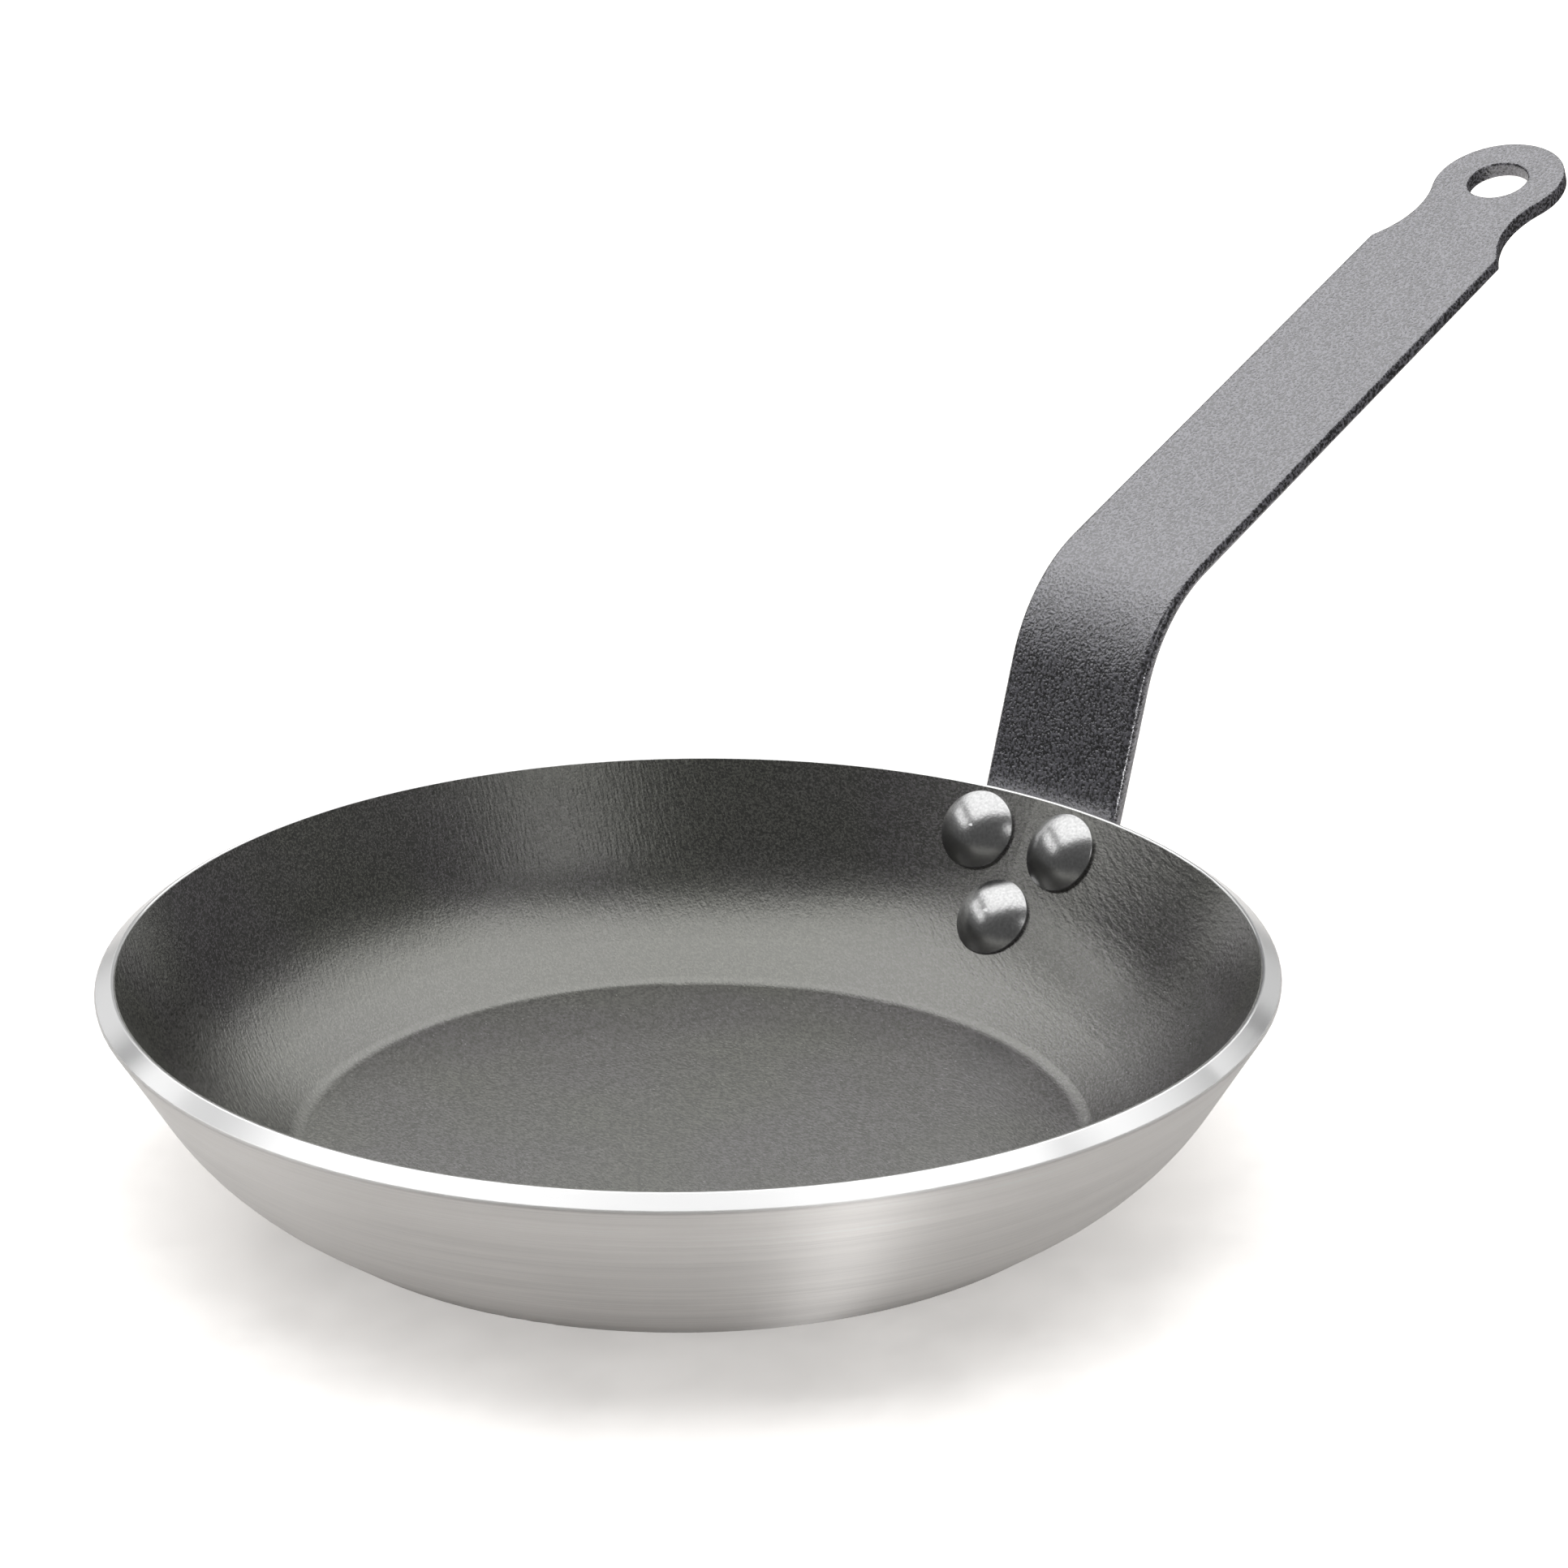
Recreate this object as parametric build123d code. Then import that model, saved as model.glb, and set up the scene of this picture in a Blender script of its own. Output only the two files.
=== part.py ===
from build123d import *
import os
from math import asin, cos, degrees, radians, sin, sqrt

# An omelette pan: a pressed aluminium pan with a non-stick lining, and a bar handle held by three rivets.
# Millimetres. The pan's axis is +Z, its base stands on Z = 0, and the handle leaves the rim along +X.

# Pan: a disc of one thickness, pressed to a flat floor, a foot bend, a wall bend and a straight flared wall
rim_diameter = 200.0
pan_height = 37.65
wall_thickness = 4.0
wall_corner_height = 15.0
lower_wall_angle = 35.8
wall_angle = 59.0
foot_bend_radius = 4.4
wall_bend_radius = 44.0

# Rim: the edge of the disc, turned to a flat that falls outwards, with both corners rounded
rim_fall_angle = 36.0
rim_edge_radius = 0.45

# Lining: the non-stick film, thicker here than the real one, up to the rim's inner rounding
lining_thickness = 0.2

# Handle: flat bar with rolled edges; its runs are measured along its upper face, from corner to corner
bar_width = 30.0
bar_thickness = 3.2
bar_edge_radius = 1.3
riser_angle = 71.8
riser_run = 39.85
rim_bend_radius = 8.0
grip_angle = 21.6
grip_run = 142.2
grip_bend_radius = 31.6

# Foot of the handle: bowed to the round wall, its bow run out below the rim, its end a rounded tongue.
# Its runs are measured down the wall from the bend at the rim.
foot_gap = 0.1
bow_end_run = 1.5
bow_start_run = 7.5
bow_shares = (1.0, 0.75, 0.25)
foot_taper_run = 13.0
foot_tip_radius = 10.0

# Eye of the handle: neck hollowed by two round punches, round eye, hanging hole
hole_diameter = 12.0
eye_diameter = 26.5
neck_punch_radius = 20.0
neck_run = 12.4
stamped_edge_radius = 0.5

# Rivets: head inside the pan, shank through lining, wall and foot, formed head outside. Two sit side by side
# near the rim, each this far in from the bar's side, and one in the middle below them.
head_diameter = 14.65
head_height = 3.5
head_edge_height = 0.8
head_edge_radius = 0.4
shank_diameter = 6.0
hole_play = 0.05
formed_diameter = 9.0
formed_height = 2.2
formed_edge_height = 1.0
formed_flat_diameter = 5.0
formed_edge_radius = 1.0
rivet_side_distance = 5.45
upper_rivet_run = 7.9
lower_rivet_run = 23.5
seat_allowance = 1.0

# How far cutting tools reach past what they cut
overrun = 5.0


def along(angle):
    """Unit step in the XZ plane that rises at this angle over +X."""
    return Vector(cos(radians(angle)), 0, sin(radians(angle)))


def outward(angle):
    """Unit normal, on the outer and lower side, of a line that rises at this angle."""
    return along(angle - 90)


def corner(point, normal_a, normal_b, distance):
    """The point that lies this distance further out than the given one along both normals."""
    return point + (normal_a + normal_b) * (distance / (1 + normal_a.dot(normal_b)))


def rounded_face(points, radii):
    """A flat face on these corners, each rounded to its radius."""
    face = make_face(Polyline(*points, close=True))
    for point, radius in zip(points, radii):
        if radius > 0:
            face = fillet(face.vertices().sort_by_distance(point)[0], radius)
    return face


# The rim's rounding centres fix its outermost radius and its crest, and all of the pan hangs from them
wall_up = along(wall_angle)
wall_out = outward(wall_angle)
rim_down = along(-rim_fall_angle)
rim_out = along(90 - rim_fall_angle)
edge_centres_apart = (wall_thickness - 2 * rim_edge_radius) / rim_down.dot(wall_out)
outer_edge_centre = Vector(
    rim_diameter / 2 - rim_edge_radius,
    0,
    pan_height - rim_edge_radius - edge_centres_apart * sin(radians(rim_fall_angle)),
)
inner_edge_centre = outer_edge_centre - rim_down * edge_centres_apart
rim_outer_corner = corner(outer_edge_centre, wall_out, rim_out, rim_edge_radius)
rim_inner_corner = corner(inner_edge_centre, -wall_out, rim_out, rim_edge_radius)
lining_end = inner_edge_centre - wall_out * rim_edge_radius
wall_corner = rim_inner_corner - wall_up * ((rim_inner_corner.Z - wall_corner_height) / wall_up.Z)
lower_wall_up = along(lower_wall_angle)
floor_corner = wall_corner - lower_wall_up * ((wall_corner_height - wall_thickness) / lower_wall_up.Z)


def floor_corner_at(depth):
    """The corner of floor and lower wall on the surface this deep under the bare inside of the pan."""
    return corner(floor_corner, outward(0), outward(lower_wall_angle), depth)


def wall_corner_at(depth):
    """The corner of lower and upper wall on the surface this deep under the bare inside of the pan."""
    return corner(wall_corner, outward(lower_wall_angle), wall_out, depth)


def pan_blank():
    """The pressed and turned pan before its rivet holes are drilled."""
    points = [
        Vector(0, 0, wall_thickness),
        floor_corner,
        wall_corner,
        rim_inner_corner,
        rim_outer_corner,
        wall_corner_at(wall_thickness),
        floor_corner_at(wall_thickness),
        Vector(0, 0, 0),
    ]
    radii = [
        0,
        foot_bend_radius,
        wall_bend_radius,
        rim_edge_radius,
        rim_edge_radius,
        wall_bend_radius + wall_thickness,
        foot_bend_radius + wall_thickness,
        0,
    ]
    return revolve(rounded_face(points, radii), Axis.Z)


def lining_blank():
    """The lining before its rivet holes, which ends where the rim's inner rounding starts."""
    points = [
        Vector(0, 0, wall_thickness + lining_thickness),
        floor_corner_at(-lining_thickness),
        wall_corner_at(-lining_thickness),
        lining_end - wall_out * lining_thickness,
        lining_end,
        wall_corner,
        floor_corner,
        Vector(0, 0, wall_thickness),
    ]
    radii = [
        0,
        foot_bend_radius - lining_thickness,
        wall_bend_radius - lining_thickness,
        0,
        0,
        wall_bend_radius,
        foot_bend_radius,
        0,
    ]
    return revolve(rounded_face(points, radii), Axis.Z)


# The upper face of the handle, from its foot on the wall, over the rim and the grip bend, to the eye
foot_depth = wall_thickness + foot_gap
rim_bend_corner = corner(outer_edge_centre, wall_out, outward(riser_angle), rim_edge_radius + foot_gap)
grip_bend_corner = rim_bend_corner + along(riser_angle) * riser_run
hole_centre = grip_bend_corner + along(grip_angle) * grip_run
bar_end = hole_centre + along(grip_angle) * (eye_diameter / 2 + overrun)
bow_end = rim_bend_corner - wall_up * bow_end_run
bow_start = rim_bend_corner - wall_up * bow_start_run
bow_radius = (rim_bend_corner - wall_up * upper_rivet_run).X / sin(radians(wall_angle))
foot_line = FilletPolyline(
    rim_bend_corner,
    wall_corner_at(foot_depth),
    floor_corner_at(foot_depth),
    radius=wall_bend_radius + foot_depth,
)


def across_bar(point, angle):
    """Plane square to the bar where its upper face rises at this angle, with Y upwards out of that face."""
    return Plane(origin=point, x_dir=(0, 1, 0), z_dir=along(angle))


def flat_section():
    """The bar's own section, under its upper face."""
    return Pos(0, -bar_thickness / 2) * RectangleRounded(bar_width, bar_thickness, bar_edge_radius)


def bowed_section(share):
    """The bar's section pressed to this share of the wall's bow, its edges nearer the wall."""
    radius = bow_radius / share
    lift = radius - sqrt(radius**2 - (bar_width / 2) ** 2)
    edges = []
    for depth in (0, bar_thickness):
        edges.append(ThreePointArc((-bar_width / 2, lift - depth), (0, -depth), (bar_width / 2, lift - depth)))
    for side in (-bar_width / 2, bar_width / 2):
        edges.append(Line((side, lift), (side, lift - bar_thickness)))
    face = make_face(edges)
    return fillet(face.vertices(), bar_edge_radius)


def bar_blank():
    """The bar bent to shape before its ends are stamped and its holes drilled."""
    foot_path = FilletPolyline(
        floor_corner_at(foot_depth),
        wall_corner_at(foot_depth),
        bow_start,
        radius=wall_bend_radius + foot_depth,
    )
    foot = sweep(across_bar(foot_path @ 0, lower_wall_angle) * bowed_section(1), foot_path)
    sections = []
    for step, share in enumerate(bow_shares):
        station = bow_start + (bow_end - bow_start) * (step / len(bow_shares))
        sections.append(across_bar(station, wall_angle) * bowed_section(share))
    sections.append(across_bar(bow_end, wall_angle) * flat_section())
    grip_path = FilletPolyline(
        bow_end,
        rim_bend_corner,
        grip_bend_corner,
        bar_end,
        radius=(rim_bend_radius, grip_bend_radius),
    )
    grip = sweep(across_bar(bow_end, wall_angle) * flat_section(), grip_path)
    return foot + loft(sections) + grip


def foot_scrap():
    """What the foot's stamp takes off the bar: all round its tongue, below the start of the taper."""
    tongue_start = Line((-bar_width / 2, -foot_taper_run), (bar_width / 2, -foot_taper_run))
    tip = Pos(0, -lower_rivet_run) * Circle(foot_tip_radius)
    tongue = make_hull([tongue_start, *tip.edges()])
    scrap_length = foot_line.length + overrun - foot_taper_run
    scrap = Pos(0, -foot_taper_run - scrap_length / 2) * Rectangle(bar_width + 2 * overrun, scrap_length)
    stamp_plane = Plane(origin=rim_bend_corner, x_dir=(0, 1, 0), z_dir=wall_out)
    return extrude(stamp_plane * (scrap - tongue), wall_bend_radius / 2, both=True)


def eye_scrap():
    """What the eye's stamp takes off the bar: two neck punches and all round the eye's outer end."""
    eye_radius = eye_diameter / 2
    centres_apart = eye_radius + neck_punch_radius
    punch_offset = sqrt(centres_apart**2 - neck_run**2)
    end_start = -neck_run * eye_radius / centres_apart
    end_length = eye_radius + 2 * overrun - end_start
    end = Pos(0, end_start + end_length / 2) * Rectangle(bar_width + 2 * overrun, end_length)
    scrap = end - Circle(eye_radius)
    for side in (-punch_offset, punch_offset):
        scrap += Pos(side, -neck_run) * Circle(neck_punch_radius)
    return extrude(eye_plane * scrap, bar_thickness + overrun, both=True)


def hanging_hole():
    """The hole punched through the eye."""
    return extrude(eye_plane * Circle(hole_diameter / 2), bar_thickness + overrun, both=True)


def stamped_handle(bar):
    """The bent bar with its foot, neck, eye and hanging hole stamped, and their edges tumbled smooth."""
    stamped = bar - foot_scrap() - eye_scrap() - hanging_hole()
    grip_faces = stamped.faces().filter_by(Axis(hole_centre, outward(grip_angle)))
    return fillet(grip_faces.edges().filter_by(GeomType.CIRCLE), stamped_edge_radius)


def rivet_place(run, side):
    """Place of a rivet: origin on the lining this far below the rim bend, Z square to the wall, into the pan."""
    point = foot_line.position_at(run, position_mode=PositionMode.LENGTH)
    fall = foot_line.tangent_at(run, position_mode=PositionMode.LENGTH)
    inward = Vector(fall.Z, 0, -fall.X)
    seat = point + inward * (foot_depth + lining_thickness)
    swing = degrees(asin(side / seat.X))
    return Rot(0, 0, swing) * Plane(origin=seat, x_dir=(0, 1, 0), z_dir=inward).location


def rivet_head():
    """The head inside the pan: a low dome with a rounded edge, uncut below its seat."""
    radius = head_diameter / 2
    dome_rise = head_height - head_edge_height
    dome_radius = (radius**2 + dome_rise**2) / (2 * dome_rise)
    dome_angle = degrees(asin(radius / dome_radius))
    dome = CenterArc((0, head_height - dome_radius), dome_radius, 90 - dome_angle, dome_angle)
    edge = dome @ 0
    outline = dome + Polyline(edge, (radius, -seat_allowance), (0, -seat_allowance), dome @ 1)
    face = make_face(outline)
    face = fillet(face.vertices().sort_by_distance(edge)[0], head_edge_radius)
    return revolve(Plane.XZ * face, Axis.Z)


def formed_head():
    """The head closed outside: a flattened button under the foot's outer face, uncut above its seat."""
    points = [
        Vector(0, seat_allowance),
        Vector(formed_diameter / 2, seat_allowance),
        Vector(formed_diameter / 2, -formed_edge_height),
        Vector(formed_flat_diameter / 2, -formed_height),
        Vector(0, -formed_height),
    ]
    face = rounded_face(points, (0, 0, formed_edge_radius, formed_edge_radius, 0))
    return Pos(0, 0, -stack_height) * revolve(Plane.XZ * face, Axis.Z)


def rivet(place, pan, lining, bar):
    """A closed rivet, each of its heads seated on the curved surface under it."""
    head = place * rivet_head() - lining - pan
    formed = place * formed_head() - bar
    shank_top = head_height / 2
    shank_end = -stack_height - formed_height / 2
    shank = Cylinder(shank_diameter / 2, shank_top - shank_end, align=(Align.CENTER, Align.CENTER, Align.MIN))
    return head + place * Pos(0, 0, shank_end) * shank + formed


def rivet_hole(place):
    """The hole that a rivet's shank passes through, from inside the pan to behind the foot."""
    length = stack_height + 2 * overrun
    return place * Pos(0, 0, -stack_height / 2) * Cylinder(shank_diameter / 2 + hole_play, length)


stack_height = lining_thickness + foot_depth + bar_thickness
upper_rivet_side = bar_width / 2 - rivet_side_distance
eye_plane = Plane(origin=hole_centre, x_dir=(0, -1, 0), z_dir=-outward(grip_angle))
rivet_places = {
    "rivet_left": rivet_place(upper_rivet_run, upper_rivet_side),
    "rivet_right": rivet_place(upper_rivet_run, -upper_rivet_side),
    "rivet_lower": rivet_place(lower_rivet_run, 0),
}

pan = pan_blank()
lining = lining_blank()
bar = bar_blank()
rivet_holes = [rivet_hole(place) for place in rivet_places.values()]
parts = {
    "pan_body": pan - rivet_holes,
    "nonstick_coating": lining - rivet_holes,
    "handle": stamped_handle(bar) - rivet_holes,
}
for name, place in rivet_places.items():
    parts[name] = rivet(place, pan, lining, bar)

os.makedirs("parts", exist_ok=True)
for name, solid in parts.items():
    export_step(solid, "parts/" + name + ".step")
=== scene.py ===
from math import cos, pi, radians, sin

import bpy
from mathutils import Matrix, Vector

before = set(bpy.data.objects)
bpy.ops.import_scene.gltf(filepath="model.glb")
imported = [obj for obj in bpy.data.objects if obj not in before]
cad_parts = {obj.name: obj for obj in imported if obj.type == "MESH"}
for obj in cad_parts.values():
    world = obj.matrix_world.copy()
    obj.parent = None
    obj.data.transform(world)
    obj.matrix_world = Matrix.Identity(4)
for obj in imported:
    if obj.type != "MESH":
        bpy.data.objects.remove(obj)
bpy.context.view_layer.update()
scene = bpy.context.scene

# The looks of an omelette pan. Metres, in the part's frame: the pan's axis is +Z, its base stands on Z = 0,
# and the handle leaves the rim along +X.

# Camera: where it stands about the pan's axis, and how it is turned from looking at that axis
camera_from_axis = 0.8047
camera_height = 0.3631
handle_swing = radians(48.648)
camera_yaw = radians(1.159)
camera_pitch = radians(20.155)
camera_roll = radians(-0.367)
camera_lens = 117.73
camera_sensor = 36.0
camera_clip_end = 50

# The studio is set out about the view: X to the camera's right, Y away from it, Z up
view = Matrix.Rotation(-handle_swing, 4, "Z")
studio_level = 0.12

# Lamps overhead face straight down from one height: name, centre's X and Y, width, depth and radiance
overhead_height = 1.2
overhead_lamps = (
    ("overhead", -0.1, 0.385, 2.1, 1.47, 1.68),
    ("overhead_right", 1.25, 0.75, 0.6, 1.1, 1.2),
    ("overhead_far_right", 1.45, 1.8, 1.0, 1.0, 1.2),
    ("overhead_back", -0.175, 1.585, 2.25, 0.93, 1.55),
)

# One lamp stands upright at the left and faces right
left_lamp_place = (-1.3, 0.53, 0.84)
left_lamp_width = 1.5
left_lamp_height = 0.40
left_lamp_radiance = 1.5

# Lamps behind the pan stand upright in a row and face the camera's side: name, centre's X, width and
# radiance
back_distance = 2.2
back_centre_height = 0.67
back_lamp_height = 1.25
back_lamps = (
    ("back_left", -1.4, 1.2, 0.8),
    ("back_panel", 0, 1.6, 0.42),
    ("back_right", 1.275, 0.95, 0.6),
)

# Small lamps at the front right face the pan's base: name, azimuth and elevation in degrees, width, height
# and radiance. The low one draws the bright line on the riser's edge and the band of light on the wall.
front_distance = 1.2
front_lamps = (
    ("front_right", -58, 40, 0.42, 0.34, 1.3),
    ("front_right_low", -62, 3, 0.24, 0.14, 12),
)

# Where the looks of the pieces change
pan_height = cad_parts["pan_body"].dimensions.z
handle_half_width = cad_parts["handle"].dimensions.y / 2
rim_starts = pan_height - 0.0020
rim_full = pan_height - 0.0018
# The outer wall's colour carries painted shade: darkest at the lower height, full at the upper.
wall_painted_shade_bottom = 0.002
wall_painted_shade_top = 0.030
strokes_start_height = 0.0045
strokes_full_height = 0.010
strokes_swing = radians(22)
coat_edge_starts = handle_half_width - 0.0013
coat_edge_full = handle_half_width - 0.0008

# How far the fine relief of each surface stands up
brushing_relief = 0.000006
lining_relief = 0.00006
coat_relief = 0.00020
rivet_relief = 0.00002

# Table: its size, how far it lies under the base, the strip along the view that reflections see as white (a
# painted reflection) from full to faded half-width, and the radii between which a painted shadow of the pan
# darkens its glow
table_half_width = 20
table_drop = 0.0002
strip_full_half_width = 0.22
strip_faded_half_width = 0.34
painted_shadow_inner_radius = 0.086
painted_shadow_outer_radius = 0.110

# Most values of a noise lie in this range
noise_range = (0.3, 0.7)


def add_camera():
    """The camera at the photograph's place, looking down at the pan with the handle away to the right."""
    data = bpy.data.cameras.new("camera")
    data.lens = camera_lens
    data.sensor_width = camera_sensor
    data.clip_end = camera_clip_end
    camera = bpy.data.objects.new("camera", data)
    place = Matrix.Translation((0, -camera_from_axis, camera_height))
    turn = Matrix.Rotation(-camera_yaw, 4, "Z") @ Matrix.Rotation(radians(90) - camera_pitch, 4, "X")
    camera.matrix_world = view @ place @ turn @ Matrix.Rotation(camera_roll, 4, "Z")
    scene.collection.objects.link(camera)
    scene.camera = camera


def add_softbox(name, place, target, width, height, radiance):
    """A rectangular area lamp in the view's axes that faces the target and isn't seen by the camera."""
    data = bpy.data.lights.new(name, "AREA")
    data.shape = "RECTANGLE"
    data.size = width
    data.size_y = height
    data.energy = radiance * pi * width * height
    lamp = bpy.data.objects.new(name, data)
    direction = Vector(target) - Vector(place)
    turn = direction.to_track_quat("-Z", "Y").to_matrix().to_4x4()
    lamp.matrix_world = view @ Matrix.Translation(place) @ turn
    lamp.visible_camera = False
    scene.collection.objects.link(lamp)


def around(azimuth, elevation, distance):
    """A point in the view's axes: azimuth from the camera's right towards its far side, both in degrees."""
    a = radians(azimuth)
    e = radians(elevation)
    return (distance * cos(e) * cos(a), distance * cos(e) * sin(a), distance * sin(e))


def add_lamps():
    """Softboxes overhead, at the left, behind the pan and at the front right."""
    for name, x, y, width, depth, radiance in overhead_lamps:
        add_softbox(name, (x, y, overhead_height), (x, y, 0), width, depth, radiance)
    left_target = (0, *left_lamp_place[1:])
    left_size = (left_lamp_width, left_lamp_height)
    add_softbox("left_panel", left_lamp_place, left_target, *left_size, left_lamp_radiance)
    for name, x, width, radiance in back_lamps:
        place = (x, back_distance, back_centre_height)
        add_softbox(name, place, (x, 0, back_centre_height), width, back_lamp_height, radiance)
    for name, azimuth, elevation, width, height, radiance in front_lamps:
        add_softbox(name, around(azimuth, elevation, front_distance), (0, 0, 0), width, height, radiance)


class Graph:
    """The node tree of a new material or of the world, built from the sockets that its methods return."""

    def __init__(self, owner):
        owner.use_nodes = True
        self.owner = owner
        self.nodes = owner.node_tree.nodes
        self.links = owner.node_tree.links
        self.nodes.clear()

    def give(self, socket, value):
        """Links a socket to the input, or sets the input to a constant."""
        if isinstance(value, bpy.types.NodeSocket):
            self.links.new(value, socket)
        else:
            socket.default_value = value

    def node(self, kind, inputs=None, **settings):
        """A node with its settings and inputs."""
        made = self.nodes.new(kind)
        for name, value in settings.items():
            setattr(made, name, value)
        for name, value in (inputs or {}).items():
            self.give(made.inputs[name], value)
        return made

    def place(self):
        """The point's place in the part's frame, in metres."""
        return self.node("ShaderNodeTexCoord").outputs["Object"]

    def split(self, vector):
        """X, Y and Z of a vector."""
        return self.node("ShaderNodeSeparateXYZ", {0: vector}).outputs

    def join(self, x, y, z):
        """A vector of three values."""
        return self.node("ShaderNodeCombineXYZ", {0: x, 1: y, 2: z}).outputs[0]

    def math(self, operation, a, b=0.0):
        """The result of a math operation."""
        return self.node("ShaderNodeMath", {0: a, 1: b}, operation=operation).outputs[0]

    def scaled(self, parts, scales):
        """A vector of three values, each times its own scale."""
        return self.join(*(self.math("MULTIPLY", part, scale) for part, scale in zip(parts, scales)))

    def radius(self, x, y):
        """The distance from the pan's axis."""
        squares = self.math("ADD", self.math("MULTIPLY", x, x), self.math("MULTIPLY", y, y))
        return self.math("SQRT", squares)

    def fit(self, value, source, result, smooth=False):
        """The value's range from source's low to its high laid on the result's, and held there outside it."""
        kind = "SMOOTHSTEP" if smooth else "LINEAR"
        ends = {"From Min": source[0], "From Max": source[1], "To Min": result[0], "To Max": result[1]}
        return self.node("ShaderNodeMapRange", {"Value": value, **ends}, interpolation_type=kind).outputs[0]

    def noise(self, vector, scale=1.0, detail=2.0, roughness=0.5):
        """Noise from about 0.25 to 0.75."""
        inputs = {"Vector": vector, "Scale": scale, "Detail": detail, "Roughness": roughness}
        return self.node("ShaderNodeTexNoise", inputs).outputs[0]

    def blend(self, share, a, b, kind="MIX"):
        """Two colours mixed by this share of the second."""
        made = self.node("ShaderNodeMix", data_type="RGBA", blend_type=kind)
        for socket, value in ((made.inputs[0], share), (made.inputs[6], a), (made.inputs[7], b)):
            self.give(socket, value)
        return made.outputs[2]

    def even(self, level):
        """A colour of this level in red, green and blue."""
        return self.join(level, level, level)

    def tinted(self, tint, level):
        """A tint times a level."""
        return self.blend(1, tint, self.even(level), "MULTIPLY")

    def bump(self, height, distance, strength=1.0):
        """The surface normal over a height of 0 to 1 that stands for this distance."""
        inputs = {"Height": height, "Distance": distance, "Strength": strength}
        return self.node("ShaderNodeBump", inputs).outputs[0]

    def surface(self, shader, kind="ShaderNodeOutputMaterial"):
        """Sends the shader to the output."""
        self.links.new(shader.outputs[0], self.node(kind).inputs["Surface"])
        return self.owner


def gray(level, warmth=0.0):
    """A grey colour, warm where warmth is over zero."""
    return (level * (1 + warmth), level, level * (1 - warmth), 1)


def new_graph(name):
    """The graph of a new material."""
    return Graph(bpy.data.materials.new(name))


def brushed_pan():
    """Aluminium, turned bright on the rim and brushed round the axis on the outside, with painted shade that
    darkens the outer wall towards the base.
    """
    graph = new_graph("pan_aluminium")
    x, y, z = graph.split(graph.place())
    radius = graph.radius(x, y)
    profile_run = graph.math("ADD", radius, z)
    ring = (profile_run, graph.math("DIVIDE", x, radius), graph.math("DIVIDE", y, radius))
    fine = graph.noise(graph.scaled(ring, (2200, 1, 1)), detail=3, roughness=0.6)
    broad = graph.noise(graph.scaled(ring, (260, 2, 2)), detail=3, roughness=0.6)
    fine_streaks = graph.fit(fine, noise_range, (-0.035, 0.035))
    broad_streaks = graph.fit(broad, noise_range, (-0.03, 0.03))
    streaks = graph.math("ADD", fine_streaks, broad_streaks)
    # Painted shade: the wall's colour darkens towards the base, standing in for the shaded table that it
    # reflects.
    wall_level_with_painted_shade = graph.fit(z, (wall_painted_shade_bottom, wall_painted_shade_top), (0.72, 0.96))
    wall_color = graph.tinted(gray(1, warmth=0.018), graph.math("ADD", wall_level_with_painted_shade, streaks))
    rim = graph.fit(z, (rim_starts, rim_full), (0, 1))
    shader = graph.node("ShaderNodeBsdfPrincipled", {
        "Base Color": graph.blend(rim, wall_color, gray(0.77)),
        "Metallic": 1.0,
        "Roughness": graph.fit(rim, (0, 1), (0.68, 0.2)),
        "Anisotropic": 1.0,
        "Anisotropic Rotation": 0.25,
        "Tangent": graph.node("ShaderNodeTangent", direction_type="RADIAL", axis="Z").outputs[0],
        "Normal": graph.bump(fine, brushing_relief),
    })
    return graph.surface(shader)


def nonstick():
    """Dark film with a fine speckle, cloudy in level and tint, and faint one-way strokes on its wall."""
    graph = new_graph("nonstick")
    place = graph.place()
    turn = (0, 0, handle_swing - strokes_swing)
    turned = graph.split(graph.node("ShaderNodeMapping", {"Vector": place, "Rotation": turn}).outputs[0])
    grain_place = graph.scaled(turned, (2700, 1100, 2700))
    speckle = graph.noise(grain_place, detail=2, roughness=0.6)
    dots = graph.noise(grain_place, scale=1.3, detail=1)
    on_wall = graph.fit(turned[2], (strokes_start_height, strokes_full_height), (0, 1))
    strokes = graph.noise(graph.scaled(turned, (1900, 330, 330)), detail=1)
    strokes = graph.math("MULTIPLY", strokes, on_wall)
    relief = graph.math("ADD", strokes, graph.math("MULTIPLY", speckle, 0.8))
    speckle_level = graph.fit(speckle, (0.42, 0.60), (0, 0.082))
    dots_level = graph.fit(dots, (0.72, 0.80), (0, 0.12))
    clouds = graph.fit(graph.noise(place, scale=55, detail=3), noise_range, (0.92, 1.08))
    level = graph.math("MULTIPLY", graph.math("ADD", speckle_level, dots_level), clouds)
    patches = graph.fit(graph.noise(place, scale=24, detail=2), (0.42, 0.58), (0, 1))
    shader = graph.node("ShaderNodeBsdfPrincipled", {
        "Base Color": graph.tinted(graph.blend(patches, (1.06, 1.08, 0.92, 1), (1.08, 0.98, 1.1, 1)), level),
        "Roughness": 0.27,
        "IOR": 2.4,
        "Specular Tint": (1, 1, 0.94, 1),
        "Normal": graph.bump(relief, lining_relief),
    })
    return graph.surface(shader)


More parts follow.
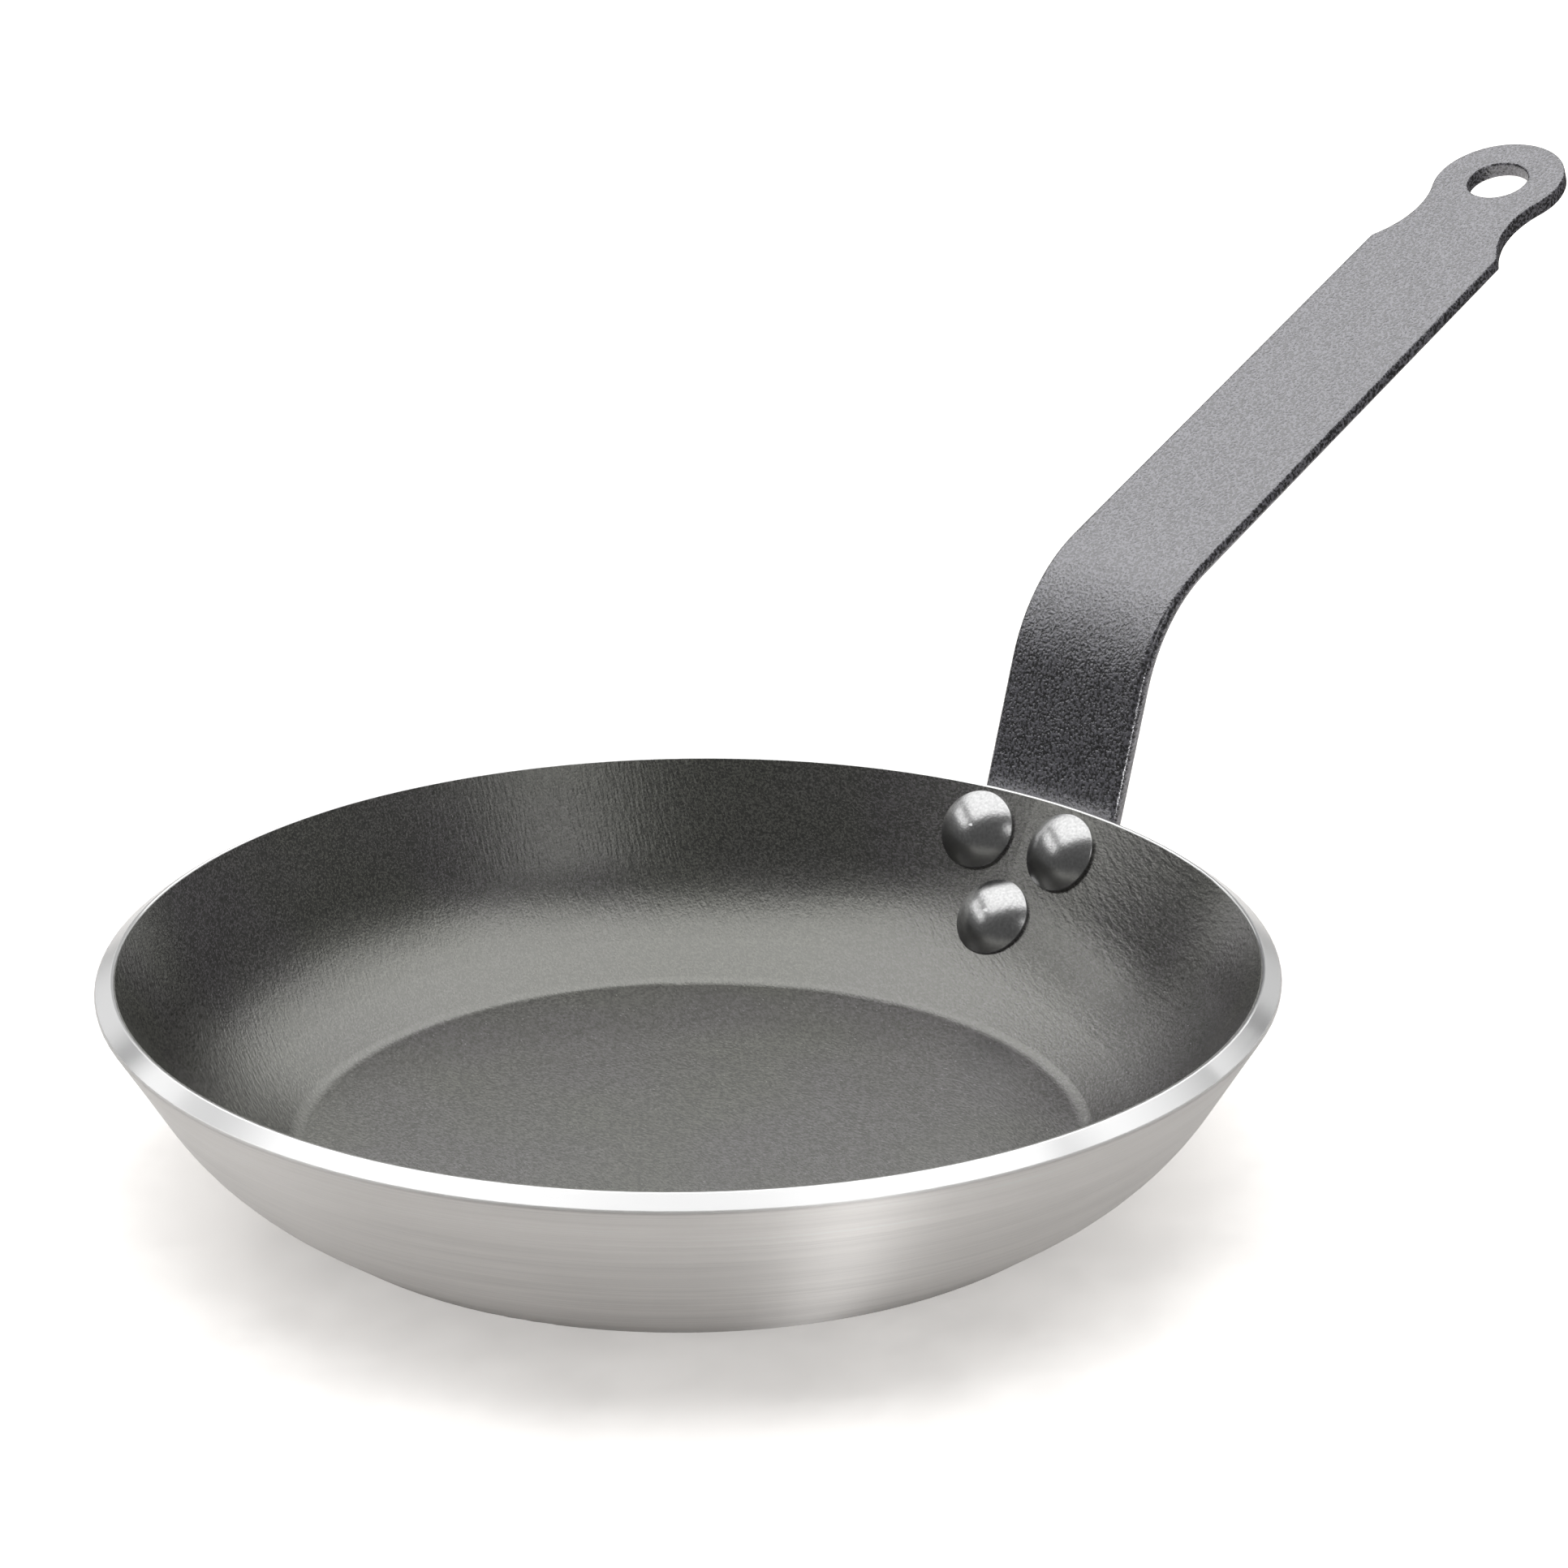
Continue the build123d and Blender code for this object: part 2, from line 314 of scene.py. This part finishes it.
def hammered_coat():
    """Grey hammered paint: small blunt grains whose colour is darker in the hollows between them, partly the
    paint's grain and partly painted shade, smoother at the bar's edges.
    """
    graph = new_graph("handle_coat")
    place = graph.place()
    from_middle = graph.math("ABSOLUTE", graph.split(place)[1])
    edge = graph.fit(from_middle, (coat_edge_starts, coat_edge_full), (0, 1))
    grains = graph.noise(place, scale=1900, detail=1)
    dents = graph.noise(place, scale=70, detail=1)
    relief = graph.math("ADD", graph.math("MULTIPLY", dents, 2.0), grains)
    shader = graph.node("ShaderNodeBsdfPrincipled", {
        # The grains' colour is darker where their relief is low: grain tone and painted shade in the hollows.
        "Base Color": graph.tinted((1, 0.98, 1.12, 1), graph.fit(grains, (0.43, 0.58), (0, 0.145))),
        "Roughness": graph.fit(edge, (0, 1), (0.24, 0.20)),
        "IOR": 2.45,
        "Specular Tint": (0.975, 0.97, 1, 1),
        "Normal": graph.bump(relief, coat_relief, graph.fit(edge, (0, 1), (1, 0.4))),
    })
    return graph.surface(shader)


def rivet_metal():
    """Satin metal with fine marks."""
    graph = new_graph("rivet_aluminium")
    marks = graph.noise(graph.place(), scale=1800, detail=3, roughness=0.6)
    shader = graph.node("ShaderNodeBsdfPrincipled", {
        "Base Color": graph.even(graph.fit(marks, noise_range, (0.43, 0.57))),
        "Metallic": 1.0,
        "Roughness": 0.24,
        "Normal": graph.bump(marks, rivet_relief),
    })
    return graph.surface(shader)


def dress(node, material):
    """Gives a piece of the frame its material."""
    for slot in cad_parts[node].material_slots:
        slot.material = material


def table_white():
    """Faintly mottled white that glows for the camera, and less in reflections and close to the pan: a
    painted reflection in a strip along the view, and a painted shadow near the pan.
    """
    graph = new_graph("floor_white")
    place = graph.place()
    x, y = graph.split(place)[:2]
    path = graph.node("ShaderNodeLightPath").outputs
    x_across = graph.math("MULTIPLY", x, cos(handle_swing))
    y_across = graph.math("MULTIPLY", y, sin(handle_swing))
    across = graph.math("ABSOLUTE", graph.math("SUBTRACT", x_across, y_across))
    # Painted reflection: for shiny surfaces the floor glows white only in this strip along the view, and
    # dimly elsewhere.
    strip = graph.fit(across, (strip_full_half_width, strip_faded_half_width), (1, 0.1), smooth=True)
    direct = graph.math("SUBTRACT", 1, path["Is Glossy Ray"])
    mottle = graph.fit(graph.noise(place, scale=38, detail=6, roughness=0.7), (0.40, 0.58), (0.93, 1.0))
    white = graph.math("MULTIPLY", graph.math("MAXIMUM", strip, direct), mottle)
    seen = graph.math("MAXIMUM", path["Is Camera Ray"], path["Is Glossy Ray"])
    # Painted shadow: the floor's glow is lower close to the pan.
    glow_with_painted_shadow = graph.fit(graph.radius(x, y), (painted_shadow_inner_radius, painted_shadow_outer_radius), (0.42, 0.6), smooth=True)
    glow_with_painted_shadow = graph.math("MULTIPLY", glow_with_painted_shadow, graph.fit(path["Is Camera Ray"], (0, 1), (0.33, 1)))
    strength = graph.math("MULTIPLY", seen, graph.math("MULTIPLY", glow_with_painted_shadow, white))
    paper = graph.node("ShaderNodeBsdfDiffuse", {"Color": graph.tinted(gray(0.9, warmth=0.02), white)})
    glow = graph.node("ShaderNodeEmission", {"Color": gray(1, warmth=0.02), "Strength": strength})
    return graph.surface(graph.node("ShaderNodeAddShader", {0: paper.outputs[0], 1: glow.outputs[0]}))


def add_floor():
    """A plain white table, far wider than the view."""
    mesh = bpy.data.meshes.new("floor")
    half = table_half_width
    corners = [(-half, -half, 0), (half, -half, 0), (half, half, 0), (-half, half, 0)]
    mesh.from_pydata(corners, [], [(0, 1, 2, 3)])
    mesh.materials.append(table_white())
    floor = bpy.data.objects.new("floor", mesh)
    floor.location.z = -table_drop
    scene.collection.objects.link(floor)


def set_world():
    """Plain grey studio light from all round, seen as white by the camera."""
    graph = Graph(bpy.data.worlds.new("studio"))
    scene.world = graph.owner
    seen = graph.node("ShaderNodeLightPath").outputs["Is Camera Ray"]
    studio = graph.node("ShaderNodeBackground", {"Color": gray(1), "Strength": studio_level}).outputs[0]
    white = graph.node("ShaderNodeBackground", {"Color": gray(1), "Strength": 1.0}).outputs[0]
    graph.surface(graph.node("ShaderNodeMixShader", {0: seen, 1: studio, 2: white}), "ShaderNodeOutputWorld")


scene.view_settings.view_transform = "Standard"
add_camera()
set_world()
add_floor()
add_lamps()
dress("pan_body", brushed_pan())
dress("nonstick_coating", nonstick())
dress("handle", hammered_coat())
for name in ("rivet_left", "rivet_right", "rivet_lower"):
    dress(name, rivet_metal())
